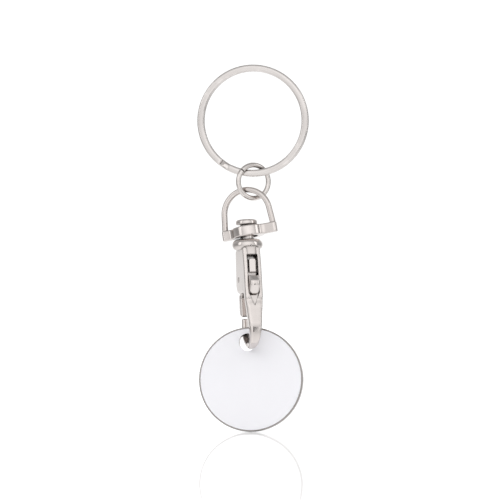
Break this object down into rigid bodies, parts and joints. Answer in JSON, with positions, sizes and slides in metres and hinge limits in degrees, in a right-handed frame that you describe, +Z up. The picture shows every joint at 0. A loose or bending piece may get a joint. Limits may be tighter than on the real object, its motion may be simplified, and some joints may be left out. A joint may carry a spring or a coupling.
{
  "type": "coin holder keyring",
  "caption": "Coin-sized token on a swivel trigger snap hook, hung from a split key ring by a small jump ring.",
  "frame": {"origin": "inner crown of the key ring, where a peg, hook or keys carry it", "axes": "+Z up along the hanging keyring, +Y away from the viewer through the key ring, +X to the right"},
  "size_m": [0.0248, 0.0112, 0.0817],
  "materials": {
    "plated_wire": "bright nickel plate on steel wire",
    "plated_casting": "bright nickel plate on a die casting",
    "steel_pin": "headed steel pin, satin ends",
    "spring_steel": "spring strip",
    "token_metal": "bright nickel plate, fine turned edge",
    "white_face": "white coated face, satin gloss"
  },
  "bodies": {
    "ring": {"key_ring": "plated_wire"},
    "link": {"jump_ring": "plated_wire"},
    "eye": {"swivel_eye": "plated_casting"},
    "hook": {"hook_body": "plated_casting", "swivel_post": "plated_casting", "pivot_pin": "steel_pin", "return_spring": "spring_steel"},
    "trigger": {"trigger_lever": "plated_casting"},
    "token": {"token_disc": "token_metal", "token_face": "white_face"}
  },
  "joints": [
    {"name": "link_swing", "type": "hinge", "parent": "ring", "child": "link", "pos_m": [0, 0, -0.02268], "axis": [0.9903, -0.1392, 0], "range_deg": [-50, 50]},
    {"name": "eye_swing", "type": "hinge", "parent": "link", "child": "eye", "pos_m": [-0.00212, 0.00025, -0.02643], "axis": [0.9294, -0.3194, 0.1851], "range_deg": [-45, 15]},
    {"name": "swivel_turn", "type": "hinge", "parent": "eye", "child": "hook", "pos_m": [-0.00123, -0.0012, -0.03863], "axis": [-0.0419, 0.0871, 0.9953], "continuous": true},
    {"name": "trigger_open", "type": "hinge", "parent": "hook", "child": "trigger", "pos_m": [-0.00128, -0.00042, -0.04638], "axis": [-0.9673, -0.253, -0.0186], "range_deg": [0, 20], "stiffness_Nm_per_rad": 0.02, "springref_deg": -34.38, "deforming": ["return_spring"]},
    {"name": "token_swing", "type": "hinge", "parent": "hook", "child": "token", "pos_m": [-0.00109, -0.00116, -0.06033], "axis": [0.13, 0.9886, -0.0753], "range_deg": [-35, 35]}
  ]
}
